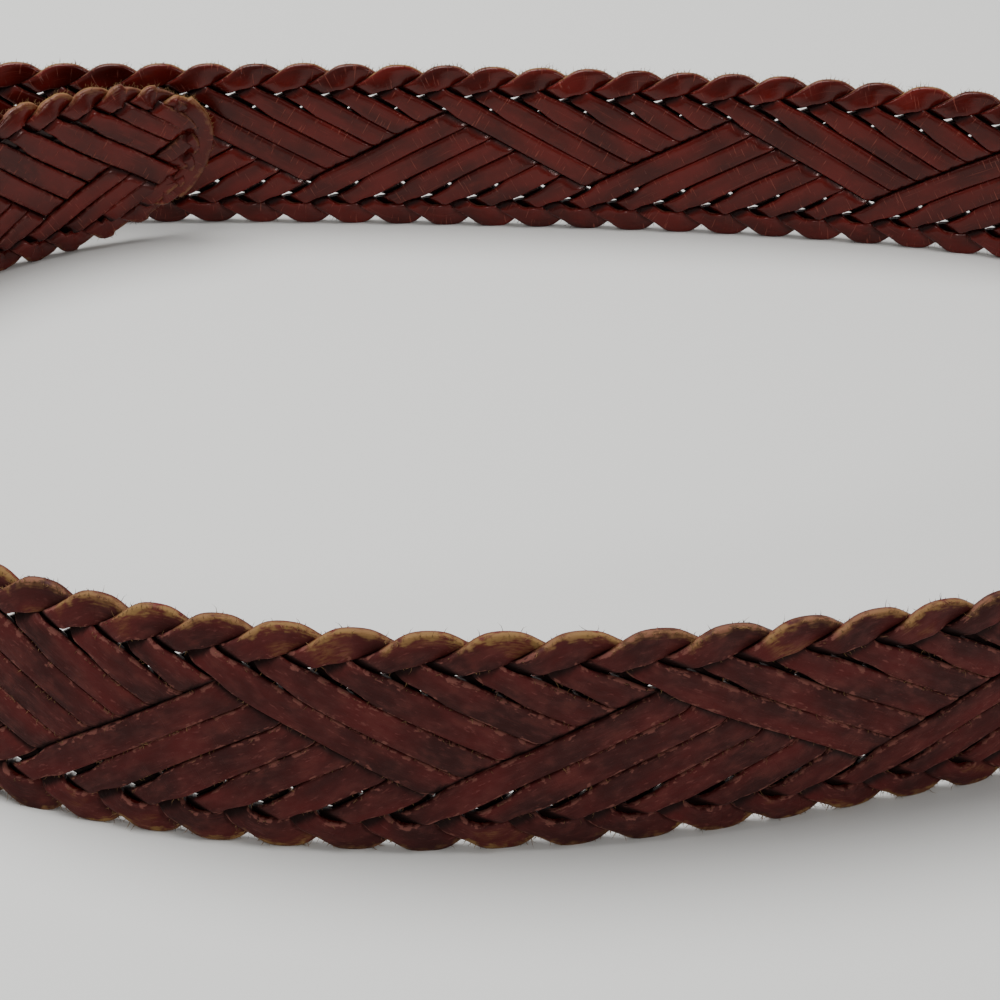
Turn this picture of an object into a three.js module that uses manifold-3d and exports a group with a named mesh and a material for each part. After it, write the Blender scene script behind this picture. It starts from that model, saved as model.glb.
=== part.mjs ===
// A hand-braided leather belt, unfastened, standing on its lower edge in an oval loop. Millimetres, +Z up.
// The strap runs from its rounded tip, inside the loop at the back, round the left, the front and the right,
// and behind the tip to the buckle. It goes anticlockwise seen from above, so its outer face is on its right.
import * as THREE from 'three';
import { mergeVertices } from 'three/addons/utils/BufferGeometryUtils.js';
import Module from 'manifold-3d';

const wasm = await Module();
wasm.setup();

// Strap
const strapLength = 992.4; // from the end of the tip to the middle of the buckle's bar
const strapWidth = 38;
const strapThickness = 4; // two laces thick
const laceThickness = 1.9;
const edgeFlat = 1.8; // thickness left on the rounded edges
const edgeRounding = 2.2; // height over which an edge rounds off

// Braid: every lace turns back at an edge and leaves a bump there
const bumpPitch = 10.6;
const tipPitch = 7.8; // the braid is tighter at the tip
const tipBumps = 4; // and loosens over about this many bumps
const drawnOut = 17.5; // round the right of the loop the braid is drawn out by this length in all
const drawnBumps = { from: 41, to: 67 };
const firstBump = 0.47; // the bump count at the end of the tip, in the pattern's repeat of six bumps
const bumpsPerRepeat = 6;
const scallopDepth = 1.3;
const stepHeight = 0.4; // how far one half of a face stands over the other, to each side of the middle
const stepWidth = 1.6;
const zigzagHeight = 16.6; // the step runs up and down this far, once in each repeat
const zigzagPeak = 1; // bumps into a repeat at which the step is highest
const shortestSpan = 2.5; // the least distance between the strap's last two sections

// Rounded tip
const tipTaper = 36; // the strap narrows to its end over this length, as half an ellipse
const tipRise = 6; // the end of the tip is higher than the strap's middle, with a longer slant below it
const tipRiseLength = 42;
const tipStart = 0.8; // the tip's small blunt end lies this far in, so that it has a face of its own
const tipSteps = 0.45; // near the tip the rounded edges take at most this share of the half width

// Buckle
const barRadius = 2;
const barClearance = 0.3;
const railWidth = 3.5;
const railThickness = 3.5;
const frontRailWidth = 4.5;
const frameLength = 34; // from the bar's axis to the front rail
const strapClearance = 1; // from each edge of the strap to the rail beside it
const cornerRadius = 6;
const prongWidth = 3.6;
const prongThickness = 2.2;
const prongEyeWall = 1.6;
const prongClearance = 0.6;
const prongSink = 0.2; // the prong's end is set this far into the front rail
const prongBend = { along: 13, thickness: 2 }; // where the prong straightens, from the bar's axis
const roundSides = 20;

// The strap's end at the buckle
const foldWidth = 30; // the laces close up where they fold round the bar
const foldNarrowing = 26;
const liftLength = 78; // the end of the strap rises over this length to the middle of the taller buckle

const railOffset = strapWidth / 2 + strapClearance;
const frameHeight = 2 * (railOffset + railWidth);
const lift = frameHeight / 2 - strapWidth / 2;
const foldRadius = barRadius + barClearance + laceThickness;

// Route in plan. at: share of the strap's length from the tip; bend: how fast the strap turns left there, in
// degrees for a whole length of strap; lean: how far the upper edge lies inwards of the lower one, as a share
// of the height between them. Between two rows bend and lean change evenly.
const route = [
  { at: 0, bend: 645, lean: 0.04 },
  { at: 0.1, bend: 570, lean: 0.11 },
  { at: 0.15, bend: 505, lean: 0.16 },
  { at: 0.25, bend: 460, lean: 0.25 },
  { at: 0.33, bend: 320, lean: 0.1 },
  { at: 0.42, bend: 155, lean: -0.08 },
  { at: 0.47, bend: 230, lean: -0.11 },
  { at: 0.54, bend: 560, lean: 0 },
  { at: 0.6, bend: 730, lean: 0 },
  { at: 0.65, bend: 670, lean: 0 },
  { at: 0.7, bend: 420, lean: 0 },
  { at: 0.76, bend: 140, lean: 0 },
  { at: 0.82, bend: 45, lean: 0 },
  { at: 1, bend: 80, lean: 0 },
];
const tipHeading = 186.9; // degrees from +X towards +Y, at the end of the tip
const routeSteps = 1984;

function alongRoute(column, share) {
  const next = Math.max(1, route.findIndex((row) => row.at >= share));
  const a = route[next - 1];
  const b = route[next];
  return THREE.MathUtils.mapLinear(share, a.at, b.at, a[column], b[column]);
}

function walkRoute() {
  const places = [{ x: 0, y: 0, heading: tipHeading }];
  const step = strapLength / routeSteps;
  for (let i = 0; i < routeSteps; i++) {
    const last = places[i];
    const turn = alongRoute('bend', (i + 0.5) / routeSteps) / routeSteps;
    const middle = THREE.MathUtils.degToRad(last.heading + turn / 2);
    places.push({
      x: last.x + step * Math.cos(middle),
      y: last.y + step * Math.sin(middle),
      heading: last.heading + turn,
    });
  }
  return places;
}
const routePlaces = walkRoute();

// The place on the strap's middle line at a distance from the end of the tip
function placeAt(distance) {
  const reach = (distance / strapLength) * routeSteps;
  const i = Math.min(Math.floor(reach), routeSteps - 1);
  const a = routePlaces[i];
  const b = routePlaces[i + 1];
  const part = reach - i;
  const heading = THREE.MathUtils.degToRad(THREE.MathUtils.lerp(a.heading, b.heading, part));
  return {
    x: THREE.MathUtils.lerp(a.x, b.x, part),
    y: THREE.MathUtils.lerp(a.y, b.y, part),
    heading,
    outward: new THREE.Vector2(Math.sin(heading), -Math.cos(heading)),
  };
}

// Distance from the end of the tip to a bump, which need not be a whole one
function distanceOfBump(bump) {
  const count = bump - firstBump;
  const tighter = (bumpPitch - tipPitch) * tipBumps * (1 - Math.exp(-count / tipBumps));
  const looser = drawnOut * THREE.MathUtils.smoothstep(bump, drawnBumps.from, drawnBumps.to);
  return count * bumpPitch - tighter + looser;
}

// Stations: three for each bump, two on its crown and one in the notch after it
function bumpStations() {
  const stations = [{ distance: tipStart, bump: firstBump, notch: false }];
  const last = strapLength - barRadius - barClearance - laceThickness / 2;
  const thirds = Math.ceil((firstBump - 1 / 6) * 3);
  for (let i = thirds; ; i++) {
    const bump = i / 3 + 1 / 6;
    const distance = distanceOfBump(bump);
    if (distance > last - shortestSpan) break;
    if (distance > tipStart) stations.push({ distance, bump, notch: i % 3 === 1 });
  }
  stations.push({ ...stations.at(-1), distance: last, notch: false });
  return stations;
}

// Half of the strap's width, without its scallops
function halfWidthAt(distance) {
  const fromTip = Math.min(distance / tipTaper, 1);
  const rounded = Math.sqrt(1 - (1 - fromTip) ** 2);
  const narrowing = THREE.MathUtils.smoothstep(distance, strapLength - foldNarrowing, strapLength);
  return (rounded * THREE.MathUtils.lerp(strapWidth, foldWidth, narrowing)) / 2;
}

function middleHeightAt(distance) {
  const tipShare = Math.max(0, 1 - distance / tipRiseLength);
  const buckleShare = THREE.MathUtils.smoothstep(distance, strapLength - liftLength, strapLength);
  return strapWidth / 2 + tipRise * tipShare ** 1.5 + lift * buckleShare;
}

// One section: out is the distance from the middle line towards the outer face, up is the height
function section({ distance, bump, notch }) {
  const half = halfWidthAt(distance) - (notch ? scallopDepth : 0);
  const middle = middleHeightAt(distance);
  const turn = (2 * Math.PI * (bump - zigzagPeak)) / bumpsPerRepeat;
  const zigzag = 1 - (2 * Math.acos(Math.cos(turn))) / Math.PI;
  const room = Math.min(half - edgeRounding - stepWidth, zigzagHeight / 2);
  const stepMiddle = middle + zigzag * Math.max(room, 0);
  const fade = Math.min(1, (2 * half) / strapWidth);
  const rise = stepHeight * THREE.MathUtils.clamp(2 * Math.sin(turn), -1, 1) * fade;
  const face = strapThickness / 2;
  const edge = edgeFlat / 2;
  const round = Math.min(edgeRounding, half * tipSteps);
  const stepHalf = Math.min(stepWidth / 2, (half * tipSteps) / 2);
  return [
    { out: edge, up: middle - half },
    { out: face - rise, up: middle - half + round },
    { out: face - rise, up: stepMiddle - stepHalf },
    { out: face + rise, up: stepMiddle + stepHalf },
    { out: face + rise, up: middle + half - round },
    { out: edge, up: middle + half },
    { out: -edge, up: middle + half },
    { out: rise - face, up: middle + half - round },
    { out: rise - face, up: stepMiddle + stepHalf },
    { out: -rise - face, up: stepMiddle - stepHalf },
    { out: -rise - face, up: middle - half + round },
    { out: -edge, up: middle - half },
  ];
}

// Closed loft through rings with the same number of points. The rings run anticlockwise seen from behind.
function loft(rings) {
  const sides = rings[0].length;
  const points = rings.flat(2);
  const faces = [];
  for (let r = 0; r < rings.length - 1; r++) {
    for (let i = 0; i < sides; i++) {
      const a = r * sides + i;
      const b = r * sides + ((i + 1) % sides);
      faces.push(a, a + sides, b, b, a + sides, b + sides);
    }
  }
  const lastRing = (rings.length - 1) * sides;
  for (let i = 1; i < sides - 1; i++) {
    faces.push(0, i, i + 1);
    faces.push(lastRing, lastRing + i + 1, lastRing + i);
  }
  const geometry = new THREE.BufferGeometry();
  geometry.setAttribute('position', new THREE.Float32BufferAttribute(points, 3));
  geometry.setIndex(faces);
  return geometry;
}

function toSolid(geometry) {
  const bare = new THREE.BufferGeometry();
  bare.setAttribute('position', geometry.getAttribute('position').clone());
  if (geometry.index) bare.setIndex(geometry.index.clone());
  const merged = mergeVertices(bare, 1e-4);
  const vertProperties = new Float32Array(merged.getAttribute('position').array);
  const triVerts = new Uint32Array(merged.index.array);
  return new wasm.Manifold(new wasm.Mesh({ numProp: 3, vertProperties, triVerts }));
}

function toGeometry(solid) {
  const mesh = solid.getMesh();
  const geometry = new THREE.BufferGeometry();
  geometry.setAttribute('position', new THREE.Float32BufferAttribute(mesh.vertProperties, 3));
  geometry.setIndex(Array.from(mesh.triVerts));
  geometry.computeVertexNormals();
  return geometry;
}

// The buckle's own frame: X ahead along the strap's end, Y towards the strap's inner face, Z up from the
// middle of the strap. atBuckle turns and moves a shape from there to its place on the loop.
const barPlace = placeAt(strapLength);
const barHeight = middleHeightAt(strapLength);
function atBuckle(geometry) {
  geometry.rotateZ(barPlace.heading);
  geometry.translate(barPlace.x, barPlace.y, barHeight);
  return geometry;
}

function uprightCylinder(radius, height) {
  return new THREE.CylinderGeometry(radius, radius, height, roundSides).rotateX(Math.PI / 2);
}

function block(fromX, toX, fromY, toY, height) {
  const geometry = new THREE.BoxGeometry(toX - fromX, toY - fromY, height);
  return geometry.translate((fromX + toX) / 2, (fromY + toY) / 2, 0);
}

// Woven band, with the laces folded round the bar at one end and a slot there for the prong
function makeStrap() {
  const rings = bumpStations().map((station) => {
    const place = placeAt(station.distance);
    const lean = alongRoute('lean', station.distance / strapLength);
    return section(station).map(({ out, up }) => {
      const leant = out - lean * (up - strapWidth / 2);
      return [place.x + place.outward.x * leant, place.y + place.outward.y * leant, up];
    });
  });
  const band = toSolid(loft(rings));
  const fold = toSolid(atBuckle(uprightCylinder(foldRadius, foldWidth)));
  const bore = toSolid(atBuckle(uprightCylinder(barRadius + barClearance, strapWidth)));
  const slotBack = -(barRadius + prongEyeWall + prongClearance);
  const slotSide = foldRadius + strapThickness;
  const slotHeight = prongWidth + 2 * prongClearance;
  const slot = toSolid(atBuckle(block(slotBack, slotSide, -slotSide, slotSide, slotHeight)));
  return toGeometry(band.add(fold).subtract(bore).subtract(slot));
}

// U-shaped frame with a round bar across its open side, and a prong with an eye round the bar
function makeBuckle() {
  const top = frameHeight / 2;
  const front = frameLength + frontRailWidth;
  const outline = new THREE.Shape();
  outline.moveTo(-barRadius, -top);
  outline.lineTo(front - cornerRadius, -top);
  outline.absarc(front - cornerRadius, cornerRadius - top, cornerRadius, -Math.PI / 2, 0, false);
  outline.absarc(front - cornerRadius, top - cornerRadius, cornerRadius, 0, Math.PI / 2, false);
  outline.lineTo(-barRadius, top);
  outline.lineTo(-barRadius, railOffset);
  outline.lineTo(frameLength, railOffset);
  outline.lineTo(frameLength, -railOffset);
  outline.lineTo(-barRadius, -railOffset);
  outline.closePath();
  const frame = new THREE.ExtrudeGeometry(outline, {
    depth: railThickness,
    bevelEnabled: false,
    curveSegments: 6,
  });
  frame.translate(0, 0, -railThickness / 2).rotateX(Math.PI / 2);
  const bar = uprightCylinder(barRadius, frameHeight - railWidth);
  const eye = uprightCylinder(barRadius + prongEyeWall, prongWidth);
  const seat = -railThickness / 2;
  const prongTop = seat - prongThickness + prongSink;
  const side = new THREE.Shape();
  side.moveTo(0, -barRadius - prongEyeWall);
  side.lineTo(prongBend.along, seat - prongBend.thickness);
  side.lineTo(front, prongTop);
  side.lineTo(front, seat + prongSink);
  side.lineTo(frameLength, seat + prongSink);
  side.lineTo(0, 0);
  side.closePath();
  const prong = new THREE.ExtrudeGeometry(side, { depth: prongWidth, bevelEnabled: false });
  prong.translate(0, 0, -prongWidth / 2);
  const metal = [bar, eye, prong].reduce(
    (body, piece) => body.add(toSolid(piece)),
    toSolid(frame),
  );
  return atBuckle(toGeometry(metal));
}

const leather = new THREE.MeshStandardMaterial({ color: 0x4d2321, roughness: 0.55, metalness: 0 });
const brass = new THREE.MeshStandardMaterial({ color: 0xa8874a, roughness: 0.35, metalness: 1 });

function named(name, geometry, material) {
  const mesh = new THREE.Mesh(geometry, material);
  mesh.name = name;
  return mesh;
}

const belt = new THREE.Group();
belt.add(named('braided_strap', makeStrap(), leather));
belt.add(named('buckle', makeBuckle(), brass));

const middle = new THREE.Box3().setFromObject(belt).getCenter(new THREE.Vector3());
belt.position.set(-middle.x, -middle.y, 0);

export default belt;
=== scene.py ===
import math
import bmesh
import bpy
import numpy as np
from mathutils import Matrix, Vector


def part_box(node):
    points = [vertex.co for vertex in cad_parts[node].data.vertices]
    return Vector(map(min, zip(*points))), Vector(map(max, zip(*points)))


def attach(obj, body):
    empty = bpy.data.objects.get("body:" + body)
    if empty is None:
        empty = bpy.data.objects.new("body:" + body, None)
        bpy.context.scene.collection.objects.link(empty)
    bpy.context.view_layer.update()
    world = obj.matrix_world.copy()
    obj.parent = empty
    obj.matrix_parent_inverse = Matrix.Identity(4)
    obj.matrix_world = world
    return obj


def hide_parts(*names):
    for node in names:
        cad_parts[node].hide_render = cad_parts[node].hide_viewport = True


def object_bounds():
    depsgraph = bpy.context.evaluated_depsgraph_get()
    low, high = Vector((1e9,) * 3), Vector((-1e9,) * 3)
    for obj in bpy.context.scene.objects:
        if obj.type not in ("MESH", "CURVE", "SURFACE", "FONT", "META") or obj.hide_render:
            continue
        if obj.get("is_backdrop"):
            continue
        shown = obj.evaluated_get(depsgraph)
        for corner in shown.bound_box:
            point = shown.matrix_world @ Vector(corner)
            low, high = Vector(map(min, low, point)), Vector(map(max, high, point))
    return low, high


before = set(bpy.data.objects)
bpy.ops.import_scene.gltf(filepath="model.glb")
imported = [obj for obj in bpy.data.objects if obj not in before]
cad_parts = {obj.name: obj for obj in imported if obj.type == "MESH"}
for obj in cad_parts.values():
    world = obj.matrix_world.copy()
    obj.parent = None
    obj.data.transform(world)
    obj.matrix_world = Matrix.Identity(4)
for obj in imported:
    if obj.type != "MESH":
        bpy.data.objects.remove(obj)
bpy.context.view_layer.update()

# Way of the strap. The belt stands on its lower edge in an open oval, as it was bent by hand, with its
# rounded tip inside the loop at the back and its buckle end behind the tip. It runs anticlockwise seen from
# above, so its worn outer face is on its right. Sizes are millimetres along, outwards from and up the strap.
MM = 0.001
STRAP_LENGTH = 992.4  # from the end of the tip to the middle of the buckle's bar
STRAP_WIDTH = 38.0
FACE_FROM_MIDDLE = 2.4  # half of the two laces' 4 mm, and the 0.4 mm step of the zigzag
TIP_HEADING = 186.9  # degrees
# share of the strap's length from the tip; how fast the strap turns left there, in degrees for a whole
# length; how far the upper edge leans inwards over the lower one, as a share of the height
ROUTE = [
    (0, 645, 0.04), (0.1, 570, 0.11), (0.15, 505, 0.16), (0.25, 460, 0.25), (0.33, 320, 0.1),
    (0.42, 155, -0.08), (0.47, 230, -0.11), (0.54, 560, 0), (0.6, 730, 0), (0.65, 670, 0),
    (0.7, 420, 0), (0.76, 140, 0), (0.82, 45, 0), (1, 80, 0),
]
ROUTE_STEPS = 1984

route_share, route_bend, route_lean = (np.array(column, dtype=float) for column in zip(*ROUTE))
step_share = (np.arange(ROUTE_STEPS) + 0.5) / ROUTE_STEPS
step_turn = np.interp(step_share, route_share, route_bend) / ROUTE_STEPS
route_heading = np.radians(TIP_HEADING + np.concatenate([[0], np.cumsum(step_turn)]))
step_heading = (route_heading[1:] + route_heading[:-1]) / 2
step_length = STRAP_LENGTH / ROUTE_STEPS
route_x = np.concatenate([[0], np.cumsum(np.cos(step_heading))]) * step_length
route_y = np.concatenate([[0], np.cumsum(np.sin(step_heading))]) * step_length
route_s = np.linspace(0, STRAP_LENGTH, ROUTE_STEPS + 1)
strap_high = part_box("braided_strap")[1]
route_x += strap_high[0] / MM - FACE_FROM_MIDDLE - route_x.max()
route_y += strap_high[1] / MM - FACE_FROM_MIDDLE - route_y.max()


def place_on_belt(s, out, up):
    """Points in metres from mm along the strap, mm towards its outer face and mm above the floor."""
    heading = np.interp(s, route_s, route_heading)
    beyond = s - np.clip(s, 0, STRAP_LENGTH)
    lean = np.interp(s / STRAP_LENGTH, route_share, route_lean)
    out = out - lean * (up - STRAP_WIDTH / 2)
    x = np.interp(s, route_s, route_x) + out * np.sin(heading) + beyond * np.cos(heading)
    y = np.interp(s, route_s, route_y) - out * np.cos(heading) + beyond * np.sin(heading)
    return np.stack([x, y, np.broadcast_to(up, x.shape)], axis=-1) * MM


# Laces. The belt is one flat braid of twelve strands, made of six laces that are cut from dyed cowhide
# 1.9 mm thick. Five are folded in half at the tip, and the sixth runs round the end of the tip. Each strand
# runs slantwise to an edge, turns back there without folding over, and leaves a bump.
LACES = 6
LEVELS = 12  # crossings from the upper edge to the lower one
REPEAT = 6  # bumps after which the pattern comes again
LONG_OVER = 8  # crossings that a strand going down passes over at its longest
# near the tip the strand that comes up to these bumps stays on the inner face down to this level
TIP_REACH = {1: 5, 2: 4, 3: 4, 4: 5, 5: 8}
BUMP_PITCH = 10.6
TIP_PITCH = 7.8
TIP_BUMPS = 4.0  # the tighter braid of the tip fades over about so many bumps
FIRST_BUMP = 0.47  # place of the end of the strap, in bumps
LAST_COLUMN = 92.5  # place of the laces' hidden ends, in bumps
DRAWN_OUT, DRAWN_FROM, DRAWN_TO = 17.5, 41.0, 67.0  # mm more between these bumps, round the right end
WAVE_HEIGHT, WAVE_MIDDLE, WAVE_BUMPS = 2.3, 36.0, 16.0  # the braiding is uneven along the front
EDGE_HEIGHT = 18.3  # from the middle of the strap to the middle of a lace at its turn
EDGE_SPREAD = 0.06  # the crossings lie a little further apart towards the edges
TURN_ROUNDING = 0.5  # in levels
FOLD_ROUNDING, FOLD_APEX = 1.15, 0.36  # in bumps: the bend of a lace at the tip, and its middle's place in it

LACE_WIDTH = 5.1
LACE_THICKNESS = 1.9
LACE_GAP = 0.04  # between a lace and the one that it crosses
NARROWEST = 3.5
SNUGNESS = 0.975  # share of the room between its neighbours that a lace fills at most
UPPER_PINCH, LOWER_PINCH = 0.26, 0.36  # share of its width that a lace loses where it is pulled round
PINCH_RISES, PINCH_FALLS = (0.3, 1.0), (2.0, 2.9)  # levels from the edge
DIVE_SHARE = 0.3  # of the way between two crossings, on each side of its middle
EDGE_TWIST = 0.75  # a turning lace leans back over the edge: its rims lie this much in and out of line
TWIST_BUMPS = 0.8
TURN_BUMPS = 0.5
CREST_BUMPS = 0.6
NOSE_DIP = 0.7  # how deep the lace round the end weaves, where 1 is a whole crossing
# hand work is uneven: the most that a lace is wider or narrower as a share, and in mm aside, in and out of
# the strap and tilted, each with the lengths of its waves in bumps
UNEVEN_WIDTH, UNEVEN_ASIDE = (0.04, (3.1, 7.7, 19)), (0.12, (1.9, 4.3, 11))
UNEVEN_HEAVE, UNEVEN_TILT = (0.08, (1.3, 2.9, 6.1)), (0.13, (2.3, 5.2))

TIP_TAPER = 36.0
TIP_MARGIN = 2.2  # from the end of the strap to the middle of the lace round it
TIP_RISE, TIP_RISE_LENGTH = 6.0, 42.0  # the tip is bent up off the floor
UPPER_PULL, UPPER_PULL_BUMPS = 8.0, 7.0  # the bumps of an edge are pulled away from the end
LOWER_PULL, LOWER_PULL_BUMPS = 13.0, 14.0
NOSE_BUMPS = 5.0  # over so many bumps the rows of crossings follow the round end
NOSE_ARC = 1.5  # half the length of the lace round the end, in bumps
FOLD_WIDTH, FOLD_NARROWING = 30.0, 26.0  # the strap's width at the buckle's bar, and the length of its waist
BUCKLE_LIFT, LIFT_LENGTH = 4.5, 78.0  # the buckle's frame stands on the floor and lifts the strap

STATIONS_PER_BUMP = 16
RIM_POINTS = 16
SQUARENESS = 5.2  # of a cut across a lace, where 2 is an ellipse
OUTLINE_POINTS = 181
FIRST_SEED = 100


def smooth(value, low, high):
    part = np.clip((value - low) / (high - low), 0, 1)
    return part * part * (3 - 2 * part)


def distance_of_bump(bump):
    count = bump - FIRST_BUMP
    tighter = (BUMP_PITCH - TIP_PITCH) * TIP_BUMPS * (1 - np.exp(-count / TIP_BUMPS))
    in_wave = np.clip(bump - WAVE_MIDDLE, -WAVE_BUMPS / 2, WAVE_BUMPS / 2)
    uneven = WAVE_HEIGHT * np.sin(2 * np.pi * in_wave / WAVE_BUMPS)
    return count * BUMP_PITCH - tighter + DRAWN_OUT * smooth(bump, DRAWN_FROM, DRAWN_TO) + uneven


# The tip's outline is a quarter ellipse above and below, and its arc length runs on into the straight edge
outline_angle = np.linspace(0, math.pi / 2, OUTLINE_POINTS)
outline_s = TIP_TAPER - (TIP_TAPER - TIP_MARGIN) * np.cos(outline_angle)
outline_v = EDGE_HEIGHT * np.sin(outline_angle)
outline_arc = np.concatenate([[0], np.cumsum(np.hypot(np.diff(outline_s), np.diff(outline_v)))])
nose_slack = outline_arc[-1] - TIP_TAPER


def outline_point(arc):
    """Along and above the middle line, from the arc length from the end of the tip; below if negative."""
    length = np.abs(arc)
    s = np.where(length < outline_arc[-1], np.interp(length, outline_arc, outline_s), length - nose_slack)
    v = np.interp(length, outline_arc, outline_v) * np.sign(arc)
    return np.stack([s, v])


def edge_arc(bump, pull, pull_bumps):
    return nose_slack + distance_of_bump(bump) + pull * (1 - smooth(bump, 0, pull_bumps))


def band_point(bump, level):
    """Distance along the strap and height above its middle line, both in mm, of a place in the braid."""
    y = 1 - level / (LEVELS / 2)
    share = (1 - (1 - EDGE_SPREAD) * y - EDGE_SPREAD * y ** 3) / 2
    upper_end = edge_arc(0.0, UPPER_PULL, UPPER_PULL_BUMPS)
    lower_end = edge_arc(0.0, LOWER_PULL, LOWER_PULL_BUMPS)
    upper = outline_point(edge_arc(bump, UPPER_PULL, UPPER_PULL_BUMPS))
    lower = outline_point(-edge_arc(bump, LOWER_PULL, LOWER_PULL_BUMPS))
    nose = outline_point(upper_end - (upper_end + lower_end) * share)
    upper_share = np.multiply.outer(outline_point(upper_end), 1 - share)
    lower_share = np.multiply.outer(outline_point(-lower_end), share)
    near_nose = 1 - smooth(bump, 0, NOSE_BUMPS)
    s, v = (1 - share) * upper + share * lower + near_nose * (nose - (upper_share + lower_share))
    waist = smooth(s, STRAP_LENGTH - FOLD_NARROWING, STRAP_LENGTH)
    narrowing = 1 - (1 - FOLD_WIDTH / STRAP_WIDTH) * waist
    rise = TIP_RISE * np.clip(1 - s / TIP_RISE_LENGTH, 0, 1) ** 1.5
    lift = BUCKLE_LIFT * smooth(s, STRAP_LENGTH - LIFT_LENGTH, STRAP_LENGTH)
    return s, v * narrowing + rise + lift


def crossing_over(a, b):
    """+1 where the strand that goes down from bump a lies over the one that comes up to bump b, else -1."""
    level = b - a
    over = np.where(level <= LONG_OVER - np.mod(a, REPEAT), 1.0, -1.0)
    for bump, reach in TIP_REACH.items():
        over = np.where(b == bump, np.where(level <= reach, 1.0, -1.0), over)
    plain = a + b >= 2 * LAST_COLUMN - 1
    over = np.where(plain, np.where(np.mod(a + b, 2) == 1, 1.0, -1.0), over)
    over = np.where(level <= 1, -1.0, over)
    return np.where(level >= LEVELS - 1, 1.0, over)


def blend_over(a, b, along, down):
    """How far over (+1) or under (-1) a strand lies, from the crossings on each side of a place."""
    low = np.floor(along)
    share = smooth(along - low, 0.5 - DIVE_SHARE, 0.5 + DIVE_SHARE)
    if down:
        return crossing_over(a, low) * (1 - share) + crossing_over(a, low + 1) * share
    return -(crossing_over(low, b) * (1 - share) + crossing_over(low + 1, b) * share)


def wander(u, uneven, seed):
    """A slow random wave along a lace, of an amount and with the lengths of its waves."""
    amount, waves = uneven
    draw = np.random.default_rng(seed)
    return amount * (sum(np.sin(2 * np.pi * (u / wave + draw.random())) for wave in waves) / len(waves))


def rim_shape():
    """Across and through a lace, both from -1 to 1, of the points round its cut: a box with round corners."""
    angle = 2 * np.pi * (np.arange(RIM_POINTS) + 0.5) / RIM_POINTS
    across = np.sign(np.cos(angle)) * np.abs(np.cos(angle)) ** (2 / SQUARENESS)
    thick = np.sign(np.sin(angle)) * np.abs(np.sin(angle)) ** (2 / SQUARENESS)
    return across, thick


def lace_course(number):
    """Where one lace runs through the braid, from its one hidden end over the tip to the other.

    At every station it gives the place along the lace (0 at the tip), how far that is from the tip's bend,
    the bump and the level, how far the last or next turn is, and whether the strand goes down.
    """
    arc = NOSE_ARC if number == LACES - 1 else 0.0
    reach = LAST_COLUMN + arc
    u = np.linspace(-reach, reach, int(2 * reach * STATIONS_PER_BUMP) + 1)
    end = np.maximum(np.abs(u) - arc, 0)
    on_arc = np.abs(u) < arc
    if arc:
        unfolded = np.where(u > 0, 2 * end, LEVELS - 2 * end)
        unfolded = np.where(on_arc, LEVELS / 2 * (1 - u / arc), unfolded)
        bump = end
    else:
        unfolded = 2 * (number + 1) + 2 * u
        x = np.clip(end / FOLD_ROUNDING, 0, 1)
        bend = FOLD_APEX + (1.5 - 2 * FOLD_APEX) * x ** 2 + (FOLD_APEX - 0.5) * x ** 4
        bump = np.where(end < FOLD_ROUNDING, FOLD_ROUNDING * bend, end)
    fold = np.mod(unfolded, 2 * LEVELS)
    level = np.where(fold < LEVELS, fold, 2 * LEVELS - fold)
    past_upper = np.where(fold > 1.5 * LEVELS, fold - 2 * LEVELS, fold - LEVELS)
    past_turn = np.where(fold < LEVELS / 2, fold, past_upper) / 2 * np.where(u > 0, 1.0, -1.0)
    turning = (np.abs(past_turn) < TURN_BUMPS) & ~on_arc
    return {
        "u": u, "end": end, "on_arc": on_arc, "bump": bump, "level": level, "past_turn": past_turn,
        "from_turn": np.minimum(level, LEVELS - level), "turning": turning,
        "folding": (end < TURN_BUMPS) & ~turning & (arc == 0), "down": (fold < LEVELS) == (u > 0),
    }


def over_or_under(course, alpha, beta):
    """+1 where a rim point lies on the outer face and -1 on the inner one, from its own place in the braid."""
    end, level = course["end"], course["level"]
    a, b = np.round(end - level / 2)[:, None], np.round(end + level / 2)[:, None]
    over = np.where(course["down"][:, None], blend_over(a, b, beta, True), blend_over(a, b, alpha, False))
    turn_swing = -np.sin(np.pi * np.clip(course["past_turn"], -0.5, 0.5))
    fold_swing = np.sin(np.pi * np.clip(course["u"], -0.5, 0.5))
    nose_swing = -NOSE_DIP * np.cos(2 * np.pi * level / LEVELS) * smooth(course["from_turn"], 0, 2)
    over = np.where(course["turning"][:, None], turn_swing[:, None], over)
    over = np.where(course["folding"][:, None], fold_swing[:, None], over)
    return np.where(course["on_arc"][:, None], nose_swing[:, None], over)


def lace_width(course, spacing, seed):
    """A lace's width in mm: pinched beside the edges, uneven, and never wider than the room that it has."""
    from_turn = course["from_turn"]
    most = np.where(course["level"] < LEVELS / 2, UPPER_PINCH, LOWER_PINCH)
    pinch = 1 - most * smooth(from_turn, *PINCH_RISES) * (1 - smooth(from_turn, *PINCH_FALLS))
    width = LACE_WIDTH * pinch * (1 + wander(course["u"], UNEVEN_WIDTH, seed))
    width = np.clip(width, NARROWEST, np.maximum(SNUGNESS * spacing, NARROWEST))
    return np.where(course["on_arc"], LACE_WIDTH, width)


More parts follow.
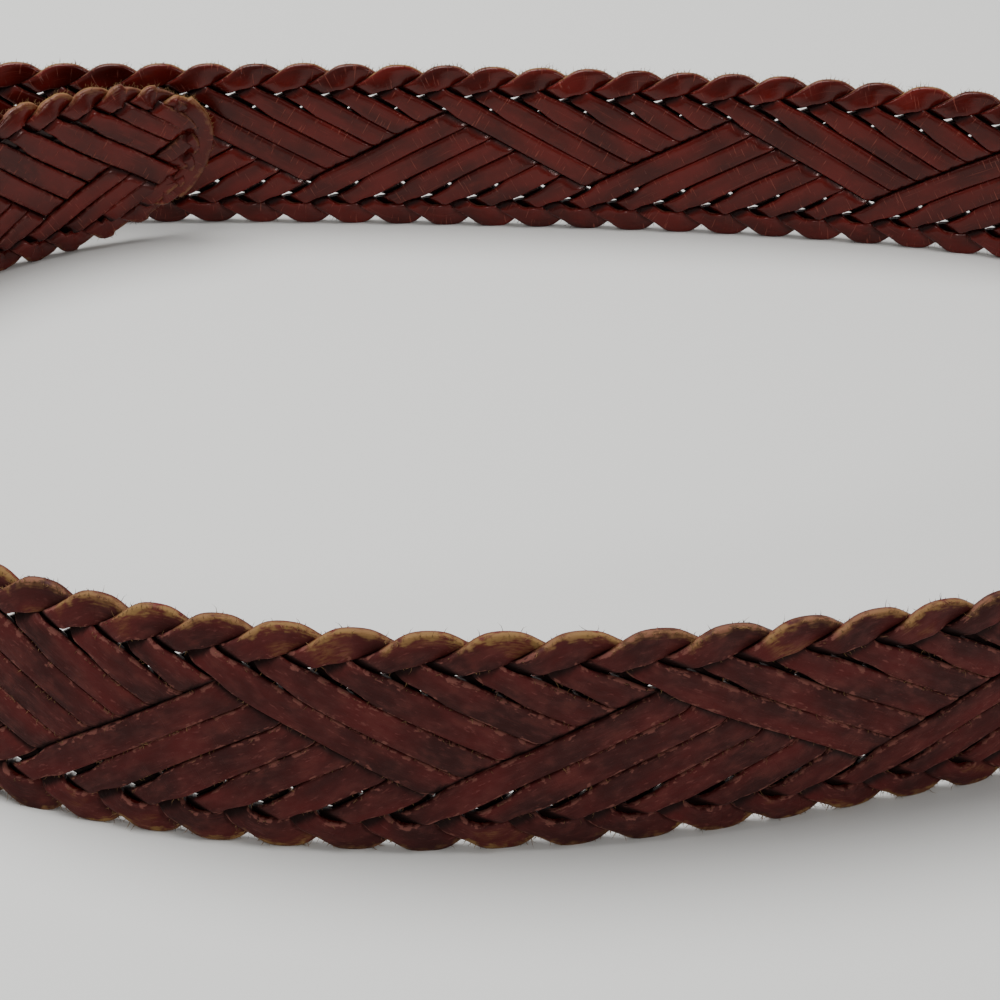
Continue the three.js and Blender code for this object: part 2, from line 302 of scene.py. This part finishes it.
def lace_grid(number):
    """Rim points of one lace at every station, with how over, how far across and how near an edge turn."""
    course = lace_course(number)
    u, end, level, bump = course["u"], course["end"], course["level"], course["bump"]
    from_turn, past_turn = course["from_turn"], course["past_turn"]
    turned = TURN_ROUNDING + from_turn ** 2 / (4 * TURN_ROUNDING)
    rounded = np.where(from_turn < 2 * TURN_ROUNDING, turned, from_turn)
    soft_level = np.where(level < LEVELS / 2, rounded, LEVELS - rounded)

    # the place of the middle line, and how it changes towards the next strand that goes up or down
    s, v = band_point(bump, soft_level)
    step = 0.02
    s_a, v_a = band_point(bump + step / 2, soft_level - step)
    s_b, v_b = band_point(bump + step / 2, soft_level + step)
    ja = np.stack([s_a - s, v_a - v]) / step
    jb = np.stack([s_b - s, v_b - v]) / step
    cross = ja[0] * jb[1] - ja[1] * jb[0]
    cross = np.where(np.abs(cross) < 1, np.where(cross < 0, -1.0, 1.0), cross)
    run = np.where(course["down"], np.hypot(*jb), np.hypot(*ja))
    spacing = np.abs(cross) / np.maximum(run, 1)

    # the rim, square to the middle line within the strap's face
    seed = FIRST_SEED + number
    width = lace_width(course, spacing, seed)
    ds, dv = np.gradient(s, u), np.gradient(v, u)
    length = np.maximum(np.hypot(ds, dv), 1e-6)
    ns, nv = -dv / length, ds / length
    across, thick = rim_shape()
    c = (width[:, None] / 2) * across[None, :] + wander(u, UNEVEN_ASIDE, seed + 10)[:, None]
    off_s, off_v = c * ns[:, None], c * nv[:, None]
    alpha = (end - level / 2)[:, None] + (off_s * jb[1][:, None] - off_v * jb[0][:, None]) / cross[:, None]
    beta = (end + level / 2)[:, None] + (off_v * ja[0][:, None] - off_s * ja[1][:, None]) / cross[:, None]
    over = over_or_under(course, alpha, beta)

    # over and under its neighbours, leaning back at the edges and a little uneven
    outward = np.sign(nv * (LEVELS / 2 - level))[:, None] * across[None, :]
    near_turn = np.clip(1 - np.abs(past_turn) / TWIST_BUMPS, 0, 1)[:, None]
    out = over * (LACE_THICKNESS / 2 + LACE_GAP / 2) - EDGE_TWIST * near_turn * over * outward
    out = out + wander(u, UNEVEN_HEAVE, seed + 20)[:, None]
    out = out + wander(u, UNEVEN_TILT, seed + 30)[:, None] * across[None, :]
    out = out + thick[None, :] * LACE_THICKNESS / 2
    crest = np.maximum(np.clip(1 - np.abs(past_turn) / CREST_BUMPS, 0, 1), 1 - smooth(end, 0.5, 1.2))
    return {
        "s": s[:, None] + off_s, "out": out, "up": STRAP_WIDTH / 2 + v[:, None] + off_v,
        "over": over, "across": across, "thick": thick, "width": width, "crest": crest,
        "travel": np.concatenate([[0], np.cumsum(np.hypot(np.diff(s), np.diff(v)))]),
        "outward": outward, "ns": ns, "nv": nv,
    }


def fill_mesh(name, points, faces, attributes):
    mesh = bpy.data.meshes.new(name)
    mesh.vertices.add(len(points))
    mesh.vertices.foreach_set("co", points.astype(np.float32).ravel())
    sides = faces.shape[1]
    mesh.loops.add(faces.size)
    mesh.loops.foreach_set("vertex_index", faces.astype(np.int32).ravel())
    mesh.polygons.add(len(faces))
    mesh.polygons.foreach_set("loop_start", np.arange(0, faces.size, sides, dtype=np.int32))
    mesh.update(calc_edges=True)
    for key, values in attributes.items():
        vector = values.ndim == 2
        layer = mesh.attributes.new(key, "FLOAT_VECTOR" if vector else "FLOAT", "POINT")
        layer.data.foreach_set("vector" if vector else "value", values.astype(np.float32).ravel())
    mesh.polygons.foreach_set("use_smooth", np.ones(len(faces), dtype=bool))
    mesh.validate()
    piece = bpy.data.objects.new(name, mesh)
    bpy.context.scene.collection.objects.link(piece)
    return piece


def close_ends(mesh, rows, rim):
    shape = bmesh.new()
    shape.from_mesh(mesh)
    shape.verts.ensure_lookup_table()
    shape.faces.new([shape.verts[i] for i in range(rim)])
    shape.faces.new([shape.verts[(rows - 1) * rim + i] for i in reversed(range(rim))])
    bmesh.ops.recalc_face_normals(shape, faces=shape.faces)
    shape.to_mesh(mesh)
    shape.free()


def make_band(name, grid, cut_from):
    """A closed lace through rim points. It carries where each point lies on the hide that it is cut from."""
    rows, rim = grid["s"].shape
    points = place_on_belt(grid["s"], grid["out"], grid["up"]).reshape(-1, 3)
    row = np.arange(rows - 1)[:, None] * rim
    i = np.arange(rim)[None, :]
    j = (i + 1) % rim
    quads = np.stack([row + i, row + j, row + rim + j, row + rim + i], axis=-1).reshape(-1, 4)
    ones = np.ones((rows, rim))
    side = grid["thick"][None, :] * ones
    across = grid["across"][None, :] * ones
    along_hide = grid["travel"][:, None] * ones + cut_from
    leather = np.stack([along_hide, across * grid["width"][:, None] / 2, side], axis=-1)
    piece = fill_mesh(name, points, quads, {
        "leather": leather.reshape(-1, 3), "across": across.ravel(), "side": side.ravel(),
        "over": grid["over"].ravel(), "crest": (grid["crest"][:, None] * ones).ravel(),
        "along": grid["s"].ravel(), "outward": grid["outward"].ravel(),
    })
    close_ends(piece.data, rows, rim)
    return piece


def linear_colour(srgb):
    """An sRGB hex colour as linear light."""
    parts = [int(srgb[i:i + 2], 16) / 255 for i in (1, 3, 5)]
    return (*((p / 12.92 if p <= 0.04045 else ((p + 0.055) / 1.055) ** 2.4) for p in parts), 1.0)


def add_node(tree, kind, result, inputs, **settings):
    """Adds a shader node and gives one of its outputs. Inputs are values or outputs, by socket."""
    node = tree.nodes.new(kind)
    for key, value in settings.items():
        setattr(node, key, value)
    for key, value in inputs.items():
        named = [socket for socket in node.inputs if key in (socket.identifier, socket.name)]
        socket = named[0] if named else node.inputs[key]
        if isinstance(value, bpy.types.NodeSocket):
            tree.links.new(value, socket)
        else:
            socket.default_value = value
    return next(socket for socket in node.outputs if result in (socket.identifier, socket.name))


def new_material(name):
    material = bpy.data.materials.new(name)
    material.use_nodes = True
    return material, material.node_tree, material.node_tree.nodes["Principled BSDF"]


# Oxblood cowhide, vegetable tanned and dyed through. The grain side is polished and faces inwards: it is a
# deep wine red with a wet looking gloss, fine scratches along the lace and short cracks across it. The
# flesh side faces outwards: worn matt, browner, with lighter rubbed patches. The cut edges are tan fibre.
leather_material, tree, shader = new_material("oxblood_cowhide")
spot = {}
for name in ("leather", "across", "side", "over", "crest", "along", "outward"):
    output = "Vector" if name == "leather" else "Fac"
    spot[name] = add_node(tree, "ShaderNodeAttribute", output, {}, attribute_name=name)

# Each pattern has its size in mm, its detail, and how much finer it is along, across and through the lace.
# Pores lie 0.15 mm apart and fibres are 0.02 mm thick, too fine to show, so both are drawn coarser.
pattern = {}
for name, size, detail, finer in (
    ("patches", 9, 3, (0.55, 1, 0.2)), ("mottle", 1.6, 4, (0.6, 1, 1)), ("grain", 0.32, 3, (1, 1, 1)),
    ("fibres", 0.5, 3, (0.35, 1.5, 1)), ("fray", 1.5, 4, (1.0, 0.8, 0.5)),
    ("scuffs", 0.7, 4, (0.5, 1.6, 1)), ("cracks", 0.8, 2, (2.2, 0.16, 0.2)),
    ("scratches", 0.5, 2, (0.05, 2.4, 0.2)),
):
    where = add_node(tree, "ShaderNodeVectorMath", "Vector", {
        0: spot["leather"], 1: finer,
    }, operation="MULTIPLY")
    pattern[name] = add_node(tree, "ShaderNodeTexNoise", "Fac", {
        "Vector": where, "Scale": 1 / size, "Detail": detail,
    })

# Amounts: name, what each follows, the values of that where it starts and ends, and its own values there
share = {}
for name, value, low, high, first, last in (
    ("outer", spot["side"], -0.25, 0.25, 0, 1),
    ("facing", spot["side"], -0.25, 0.25, -1, 1),
    ("turning", spot["crest"], 0.02, 0.3, 0, 1),
    ("straight", spot["crest"], 0.02, 0.3, 1, 0),
    ("at_tip", spot["along"], 75, 40, 0, 0.45),
    ("worn_side", spot["side"], -0.7, 0.2, 0, 1),
    ("fray_wave", pattern["fray"], 0.2, 0.8, -0.34, 0.34),
    ("fibre_wave", pattern["fibres"], 0.2, 0.8, -0.2, 0.2),
    ("worn_patch", pattern["patches"], 0.4, 0.6, 0.3, 1),
    ("rubbed_through", pattern["patches"], 0.55, 0.62, 0, 0.6),
    ("fibre_lines", pattern["fibres"], 0.3, 0.65, 0, 1),
    ("worn_roughness", pattern["mottle"], 0.3, 0.7, 0.8, 0.62),
    ("gloss_roughness", pattern["mottle"], 0.3, 0.75, 0.27, 0.14),
    ("crack", pattern["cracks"], 0.64, 0.7, 0, 1),
    ("scuffed", pattern["scuffs"], 0.6, 0.72, 0, 0.6),
):
    share[name] = add_node(tree, "ShaderNodeMapRange", "Result", {
        "Value": value, "From Min": low, "From Max": high, "To Min": first, "To Max": last,
    }, interpolation_type="SMOOTHSTEP")

# Colours of the two faces, each a ground with patterns laid over it from their lower to their upper value
faces = {}
for face, ground, layers in (
    ("flesh", "#2b0d0c", [
        ("patches", 0.36, 0.66, 1, "#4a1514"), ("mottle", 0.45, 0.8, 0.5, "#57221c"),
        ("scratches", 0.62, 0.8, 0.3, "#5c2722"),
    ]),
    ("hide", "#350b08", [
        ("patches", 0.34, 0.68, 1, "#55130f"), ("mottle", 0.5, 0.85, 0.4, "#641d16"),
        ("cracks", 0.64, 0.7, 0.4, "#8e4a3c"), ("scratches", 0.66, 0.75, 0.35, "#7d3a30"),
    ]),
):
    faces[face] = linear_colour(ground)
    for name, low, high, most, srgb in layers:
        part = add_node(tree, "ShaderNodeMapRange", "Result", {
            "Value": pattern[name], "From Min": low, "From Max": high, "To Max": most,
        }, interpolation_type="SMOOTHSTEP")
        faces[face] = add_node(tree, "ShaderNodeMix", "Result_Color", {
            "Factor_Float": part, "A_Color": faces[face], "B_Color": linear_colour(srgb),
        }, data_type="RGBA")

# Painted shade: where a lace dives under its neighbour, it is painted nearly black in the recess beside it,
# where shade falls, but not at its turns
cover = add_node(tree, "ShaderNodeMath", "Value", {
    0: spot["over"], 1: share["facing"],
}, operation="MULTIPLY")
dive_shade = add_node(tree, "ShaderNodeMapRange", "Result", {
    "Value": cover, "From Min": 0.85, "From Max": 0.1, "To Max": 0.93,
}, interpolation_type="SMOOTHSTEP")
painted_recess_shade = add_node(tree, "ShaderNodeMath", "Value", {0: dive_shade, 1: share["straight"]}, operation="MULTIPLY")
bare = add_node(tree, "ShaderNodeMapRange", "Result", {"Value": cover, "From Min": -0.2, "From Max": 0.5})
uncovered = add_node(tree, "ShaderNodeMath", "Value", {0: bare, 1: share["turning"]}, operation="MAXIMUM")

# Cut edges: broken reddish fuzz beside the strips, and a broad tan rim on the outward edge of the bumps
from_middle = add_node(tree, "ShaderNodeMath", "Value", {0: spot["across"]}, operation="ABSOLUTE")
wave = add_node(tree, "ShaderNodeMath", "Value", {
    0: share["fray_wave"], 1: share["fibre_wave"],
}, operation="ADD")
worn = add_node(tree, "ShaderNodeMath", "Value", {
    0: share["worn_side"], 1: share["at_tip"],
}, operation="MAXIMUM")
shown = add_node(tree, "ShaderNodeMath", "Value", {0: worn, 1: uncovered}, operation="MULTIPLY")
fuzz_place = add_node(tree, "ShaderNodeMath", "Value", {0: from_middle, 1: wave}, operation="ADD")
fuzz_edge = add_node(tree, "ShaderNodeMapRange", "Result", {
    "Value": fuzz_place, "From Min": 0.93, "From Max": 1.08, "To Max": 0.85,
}, interpolation_type="SMOOTHSTEP")
fuzz = add_node(tree, "ShaderNodeMath", "Value", {0: fuzz_edge, 1: shown}, operation="MULTIPLY")
rim_place = add_node(tree, "ShaderNodeMath", "Value", {0: spot["outward"], 1: wave}, operation="ADD")
rim_edge = add_node(tree, "ShaderNodeMapRange", "Result", {
    "Value": rim_place, "From Min": 0.58, "From Max": 1.02,
}, interpolation_type="SMOOTHSTEP")
rim_shown = add_node(tree, "ShaderNodeMath", "Value", {0: worn, 1: share["turning"]}, operation="MULTIPLY")
rim_worn = add_node(tree, "ShaderNodeMath", "Value", {
    0: rim_shown, 1: share["worn_patch"],
}, operation="MULTIPLY")
rim = add_node(tree, "ShaderNodeMath", "Value", {0: rim_edge, 1: rim_worn}, operation="MULTIPLY")

# Some bumps are rubbed through to the tan fibre, and scuffs lie about on the worn side
rubbed_bump = add_node(tree, "ShaderNodeMath", "Value", {
    0: share["rubbed_through"], 1: share["fibre_lines"],
}, operation="MULTIPLY")
outer_turn = add_node(tree, "ShaderNodeMath", "Value", {
    0: share["outer"], 1: share["turning"],
}, operation="MULTIPLY")
rubbed = add_node(tree, "ShaderNodeMath", "Value", {0: rubbed_bump, 1: outer_turn}, operation="MULTIPLY")
scuff_patch = add_node(tree, "ShaderNodeMath", "Value", {
    0: share["scuffed"], 1: share["worn_patch"],
}, operation="MULTIPLY")
scuff = add_node(tree, "ShaderNodeMath", "Value", {0: scuff_patch, 1: share["outer"]}, operation="MULTIPLY")

colour = add_node(tree, "ShaderNodeMix", "Result_Color", {
    "Factor_Float": share["outer"], "A_Color": faces["hide"], "B_Color": faces["flesh"],
}, data_type="RGBA")
# the near black mix is painted shade in the recesses where laces dive; the scuffs, fuzz, rubbed bumps and tan
# rims are wear and fibre
for part, srgb in (
    (scuff, "#6a3833"), (painted_recess_shade, "#100404"), (fuzz, "#6c4038"), (rubbed, "#694628"), (rim, "#765934"),
):
    colour = add_node(tree, "ShaderNodeMix", "Result_Color", {
        "Factor_Float": part, "A_Color": colour, "B_Color": linear_colour(srgb),
    }, data_type="RGBA")
tree.links.new(colour, shader.inputs["Base Color"])

# Polish on the grain side only. Its wax is reddish from the dye, and raw fibre has no gloss at all.
FIBRE_ROUGHNESS = 0.85
LEATHER_IOR = 1.5
raw = add_node(tree, "ShaderNodeMath", "Value", {0: fuzz, 1: rim}, operation="MAXIMUM")
rough = add_node(tree, "ShaderNodeMix", "Result_Float", {
    "Factor_Float": share["outer"], "A_Float": share["gloss_roughness"], "B_Float": share["worn_roughness"],
})
rough = add_node(tree, "ShaderNodeMix", "Result_Float", {
    "Factor_Float": raw, "A_Float": rough, "B_Float": FIBRE_ROUGHNESS,
})
tree.links.new(rough, shader.inputs["Roughness"])
shader.inputs["IOR"].default_value = LEATHER_IOR
shader.inputs["Specular IOR Level"].default_value = 0.3
shader.inputs["Specular Tint"].default_value = linear_colour("#f8dcd6")

# Relief: pores, loose fibres on the worn side, shallow dents and the cracks
RELIEF_DEPTH = 0.18
outer_fibres = add_node(tree, "ShaderNodeMath", "Value", {
    0: pattern["fibres"], 1: share["outer"],
}, operation="MULTIPLY")
relief = 0.0
for height, weight in (
    (pattern["grain"], 0.25), (outer_fibres, 0.8), (pattern["mottle"], 0.45), (share["crack"], -0.35),
):
    relief = add_node(tree, "ShaderNodeMath", "Value", {
        0: height, 1: weight, 2: relief,
    }, operation="MULTIPLY_ADD")
normal = add_node(tree, "ShaderNodeBump", "Normal", {
    "Height": relief, "Strength": 0.6, "Distance": RELIEF_DEPTH * MM,
})
tree.links.new(normal, shader.inputs["Normal"])

LACE_CUT_STEP = 517.0  # each lace is cut this much further along the hide, so that no two look alike
grids = []
for number in range(LACES):
    grid = lace_grid(number)
    grids.append(grid)
    lace = make_band(f"lace_{number + 1}", grid, LACE_CUT_STEP * number)
    lace.data.materials.append(leather_material)
    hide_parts("braided_strap")
    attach(lace, "root")

# Folds round the buckle's bar. Each of the six laces is bent round the bar with its worn side outwards and
# braided back into the strap, three above the prong's slot and three below it.
BAR_RADIUS = 2.3  # with its clearance
FOLD_LENGTH = 15.0
LEG_STATIONS = 15
ARC_STATIONS = 25
FOLD_HEIGHTS = (-12.6, -8.6, -4.6, 4.6, 8.6, 12.6)  # from the bar's middle
FOLD_LACE_WIDTH = 4.0
FOLD_CUT_STEP = 91.0
fold_start = STRAP_LENGTH - FOLD_LENGTH
bar_height = STRAP_WIDTH / 2 + BUCKLE_LIFT
lace_half = LACE_THICKNESS / 2
fold_radius = BAR_RADIUS + lace_half
leg_s = np.linspace(fold_start, STRAP_LENGTH, LEG_STATIONS + 1)[:-1]
leg_out = lace_half + (fold_radius - lace_half) * smooth(leg_s, fold_start, STRAP_LENGTH - 1)
arc_angle = np.linspace(math.pi / 2, -math.pi / 2, ARC_STATIONS)
loop_s = np.concatenate([leg_s, STRAP_LENGTH + fold_radius * np.cos(arc_angle), leg_s[::-1]])
loop_out = np.concatenate([leg_out, fold_radius * np.sin(arc_angle), -leg_out[::-1]])
step_s, step_out = np.gradient(loop_s), np.gradient(loop_out)
step_size = np.hypot(step_s, step_out)
rim_across, rim_thick = rim_shape()
through = (rim_thick * LACE_THICKNESS / 2)[None, :]
loop_ones = np.ones((len(loop_s), RIM_POINTS))
for number, height in enumerate(FOLD_HEIGHTS):
    fold = make_band(f"bar_fold_{number + 1}", {
        "s": loop_s[:, None] - (step_out / step_size)[:, None] * through,
        "out": loop_out[:, None] + (step_s / step_size)[:, None] * through,
        "up": loop_ones * (bar_height + height + rim_across * FOLD_LACE_WIDTH / 2),
        "over": loop_ones, "across": rim_across, "thick": rim_thick, "travel": np.cumsum(step_size),
        "width": np.full(len(loop_s), FOLD_LACE_WIDTH), "crest": np.zeros(len(loop_s)),
        "outward": loop_ones * 0,
    }, FOLD_CUT_STEP * number)
    fold.data.materials.append(leather_material)
    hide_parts("braided_strap")
    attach(fold, "root")

# Fuzz. Loose fibres stand out of the cut edges on the worn side and of the bumps. Real fibres are finer than
# a hundredth of a millimetre, too fine to show, so they are drawn ten times as thick and fewer.
HAIRS_PER_LACE = 3000
PLACES_TRIED = 9  # for each hair
FIRST_ROW, BARE_ROWS = 2, 40  # of a lace, without hairs at its hidden ends
OUTER_SHARE = 0.8  # of the places that are tried lie on the outer face
OUTER_RIM, INNER_RIM = (1, 6), (14, 9)  # rim points beside the left and the right cut edge
HAIR_RADIUS = 0.05
HAIR_SHORTEST, HAIR_TYPICAL, HAIR_LONGEST = 0.25, 0.45, 1.5
STRIP_HAIR = 0.6  # length of a hair beside a strip, as a share of one on a bump
STRAY = 0.45
CLUMP_WAVES = (1.9, 7.3, 0.83)
# places along a hair as shares of its length, with its thickness there; it starts below the surface
HAIR_RINGS = ((-0.25, 1.0), (0.5, 0.75))
HAIR_CURL, TIP_CURL = 0.12, 0.45
HAIR_FACES = np.array([
    (0, 2, 1), (0, 1, 4), (0, 4, 3), (1, 2, 5), (1, 5, 4),
    (2, 0, 3), (2, 3, 5), (3, 4, 6), (4, 5, 6), (5, 3, 6),
])
HAIR_POINTS = 7
draw = np.random.default_rng(11)
roots, ways, lengths, tones = [], [], [], []
for grid in grids:
    rows = len(grid["travel"])
    i = draw.integers(FIRST_ROW, rows - BARE_ROWS, HAIRS_PER_LACE * PLACES_TRIED)
    left = draw.random(len(i)) < 0.5
    outer_face = draw.random(len(i)) < OUTER_SHARE
    j = np.where(outer_face, np.where(left, *OUTER_RIM), np.where(left, *INNER_RIM))
    face_sign = np.where(outer_face, 1.0, -1.0)
    on_top = grid["over"][i, j] * face_sign > 0.7
    on_bump = (grid["crest"][i] > 0.15) & (grid["outward"][i, j] > 0)
    travel = grid["travel"][i]
    broad = np.sin(travel / CLUMP_WAVES[0] + 3 * np.sin(travel / CLUMP_WAVES[1]))
    clumps = 0.5 + 0.5 * broad * np.sin(travel / CLUMP_WAVES[2] + left * 2)
    beside_strip = np.where(on_top & outer_face, 0.5 * clumps ** 2, 0)
    chance = np.where(on_bump, 0.25 + 0.75 * clumps, beside_strip)
    keep = np.flatnonzero(draw.random(len(i)) < chance)[:HAIRS_PER_LACE]
    i, j, left, face_sign, on_bump = i[keep], j[keep], left[keep], face_sign[keep], on_bump[keep]
    s, out, up = grid["s"][i, j], grid["out"][i, j], grid["up"][i, j]
    root = place_on_belt(s, out, up)
    sideways = np.where(on_bump, 1.0, 0.55) * np.where(left, 1.0, -1.0)
    lift = np.where(on_bump, 0.15, 0.8) * face_sign
    stray = draw.normal(0, STRAY, (len(i), 3))
    way_s = sideways * grid["ns"][i] + stray[:, 0]
    way_up = sideways * grid["nv"][i] + stray[:, 1]
    way = place_on_belt(s + way_s, out + lift + stray[:, 2], up + way_up) - root
    roots.append(root)
    ways.append(way / np.linalg.norm(way, axis=1)[:, None])
    longer = HAIR_TYPICAL * draw.exponential(1.0, len(i)) * np.where(on_bump, 1.0, STRIP_HAIR)
    lengths.append(np.clip(HAIR_SHORTEST + longer, HAIR_SHORTEST, HAIR_LONGEST) * MM)
    middle_tone = np.where(face_sign > 0, np.where(on_bump, 0.75, 0.45), 0.1)
    tones.append(np.clip(draw.normal(middle_tone, 0.22), 0, 1))
root, way = np.concatenate(roots), np.concatenate(ways)
length, tone = np.concatenate(lengths), np.concatenate(tones)
aside = np.cross(way, draw.normal(0, 1, way.shape))
aside /= np.linalg.norm(aside, axis=1)[:, None]
third = np.cross(way, aside)
rings = []
for place, radius in HAIR_RINGS:
    curl = aside * (length * HAIR_CURL * max(place, 0))[:, None]
    middle = root + way * (length * place)[:, None] + curl
    for turn in (0, 2 * math.pi / 3, 4 * math.pi / 3):
        round_middle = aside * math.cos(turn) + third * math.sin(turn)
        rings.append(middle + round_middle * HAIR_RADIUS * radius * MM)
rings.append(root + way * length[:, None] + aside * (length * TIP_CURL)[:, None])
hair_points = np.stack(rings, axis=1)
above_floor = hair_points[:, :, 2].min(axis=1) > 0
hair_points, tone = hair_points[above_floor], tone[above_floor]
first_points = np.arange(len(hair_points))[:, None, None] * HAIR_POINTS
hair_faces = (first_points + HAIR_FACES[None]).reshape(-1, 3)
fuzz_piece = fill_mesh("fuzz", hair_points.reshape(-1, 3), hair_faces, {
    "tone": np.repeat(tone, HAIR_POINTS),
})

# Raw leather fibre: matt and straw coloured on the bumps, and stained red brown along the strips
fibre_material, tree, shader = new_material("raw_leather_fibre")
fibre_tone = add_node(tree, "ShaderNodeAttribute", "Fac", {}, attribute_name="tone")
fibre_colour = add_node(tree, "ShaderNodeMix", "Result_Color", {
    "Factor_Float": fibre_tone, "A_Color": linear_colour("#2c1411"), "B_Color": linear_colour("#8f6f49"),
}, data_type="RGBA")
tree.links.new(fibre_colour, shader.inputs["Base Color"])
shader.inputs["Roughness"].default_value = 0.9
shader.inputs["Specular IOR Level"].default_value = 0.2
fuzz_piece.data.materials.append(fibre_material)
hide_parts("braided_strap")
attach(fuzz_piece, "root")

# Buckle. A plain cast frame with its prong, of brass that is worn satin: soft highlights, fine rubbing marks
# and browner tarnish in patches. It is hidden in the photo. The CAD shape stays and gets this material.
TARNISH_PATCH = 6.0
RUBBING_MARK = 0.6  # really about 0.05 mm wide, too fine to show, so drawn coarser
MARK_DEPTH = 0.04
brass_material, tree, shader = new_material("satin_brass")
metal_place = add_node(tree, "ShaderNodeTexCoord", "Object", {})
tarnish = add_node(tree, "ShaderNodeTexNoise", "Fac", {
    "Vector": metal_place, "Scale": 1 / (TARNISH_PATCH * MM), "Detail": 4,
})
tarnished = add_node(tree, "ShaderNodeMapRange", "Result", {
    "Value": tarnish, "From Min": 0.45, "From Max": 0.7,
}, interpolation_type="SMOOTHSTEP")
brass_colour = add_node(tree, "ShaderNodeMix", "Result_Color", {
    "Factor_Float": tarnished, "A_Color": linear_colour("#b99a5e"), "B_Color": linear_colour("#8f6d3c"),
}, data_type="RGBA")
tree.links.new(brass_colour, shader.inputs["Base Color"])
brass_rough = add_node(tree, "ShaderNodeMapRange", "Result", {
    "Value": tarnish, "From Min": 0.3, "From Max": 0.7, "To Min": 0.26, "To Max": 0.44,
})
tree.links.new(brass_rough, shader.inputs["Roughness"])
marks = add_node(tree, "ShaderNodeTexNoise", "Fac", {
    "Vector": metal_place, "Scale": 1 / (RUBBING_MARK * MM), "Detail": 3,
})
brass_normal = add_node(tree, "ShaderNodeBump", "Normal", {
    "Height": marks, "Strength": 0.3, "Distance": MARK_DEPTH * MM,
})
tree.links.new(brass_normal, shader.inputs["Normal"])
shader.inputs["Metallic"].default_value = 1.0
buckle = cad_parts["buckle"]
for i in range(len(buckle.material_slots)):
    buckle.material_slots[i].material = brass_material

# Floor. A plain pale matt floor, in metres.
FLOOR_X, FLOOR_FRONT, FLOOR_BACK = 6, -4, 8
floor_mesh = bpy.data.meshes.new("floor")
floor_mesh.from_pydata([
    (-FLOOR_X, FLOOR_FRONT, 0), (FLOOR_X, FLOOR_FRONT, 0), (FLOOR_X, FLOOR_BACK, 0), (-FLOOR_X, FLOOR_BACK, 0),
], [], [(0, 1, 2, 3)])
floor = bpy.data.objects.new("floor", floor_mesh)
bpy.context.scene.collection.objects.link(floor)
floor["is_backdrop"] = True
floor_material, tree, shader = new_material("pale_floor")
shader.inputs["Base Color"].default_value = linear_colour("#cececb")
shader.inputs["Roughness"].default_value = 0.6
floor_mesh.materials.append(floor_material)

# Light. A pale room, a broad soft light overhead, and a small one in front at the right for the glints on
# the polished side. Places and sizes are metres and powers are watts.
ROOM_GREY, ROOM_STRENGTH = 0.9, 0.5
LIGHT_TARGET = (0, 0.05, 0)
world = bpy.data.worlds.new("studio")
bpy.context.scene.world = world
world.use_nodes = True
background = world.node_tree.nodes["Background"]
background.inputs["Color"].default_value = (ROOM_GREY, ROOM_GREY, ROOM_GREY, 1)
background.inputs["Strength"].default_value = ROOM_STRENGTH


def add_area_light(name, location, size, power):
    light = bpy.data.lights.new(name, "AREA")
    light.shape = "DISK"
    light.size = size
    light.energy = power
    item = bpy.data.objects.new(name, light)
    item.location = location
    towards = Vector(LIGHT_TARGET) - Vector(location)
    item.rotation_euler = towards.to_track_quat("-Z", "Y").to_euler()
    bpy.context.scene.collection.objects.link(item)


add_area_light("overhead", (-0.3, 0.25, 1.2), size=1.1, power=28.5)
add_area_light("glint", (0.8, -0.95, 0.5), size=0.12, power=4)

# Camera. It stands in front of the belt, close and looking down, as the photo was taken.
CAMERA_PLACE = (9.38, -430.37, 252.3)
CAMERA_PITCH = 31  # degrees down
SENSOR_WIDTH = 36
LENS_IN_WIDTHS = 2.6
camera_data = bpy.data.cameras.new("camera")
camera = bpy.data.objects.new("camera", camera_data)
bpy.context.scene.collection.objects.link(camera)
camera_data.sensor_width = SENSOR_WIDTH
camera_data.lens = SENSOR_WIDTH * LENS_IN_WIDTHS
camera.location = [place * MM for place in CAMERA_PLACE]
camera.rotation_euler = (math.radians(90 - CAMERA_PITCH), 0, 0)
camera_data.clip_start = 0.01
camera_data.clip_end = 20
bpy.context.scene.camera = camera

low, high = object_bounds()
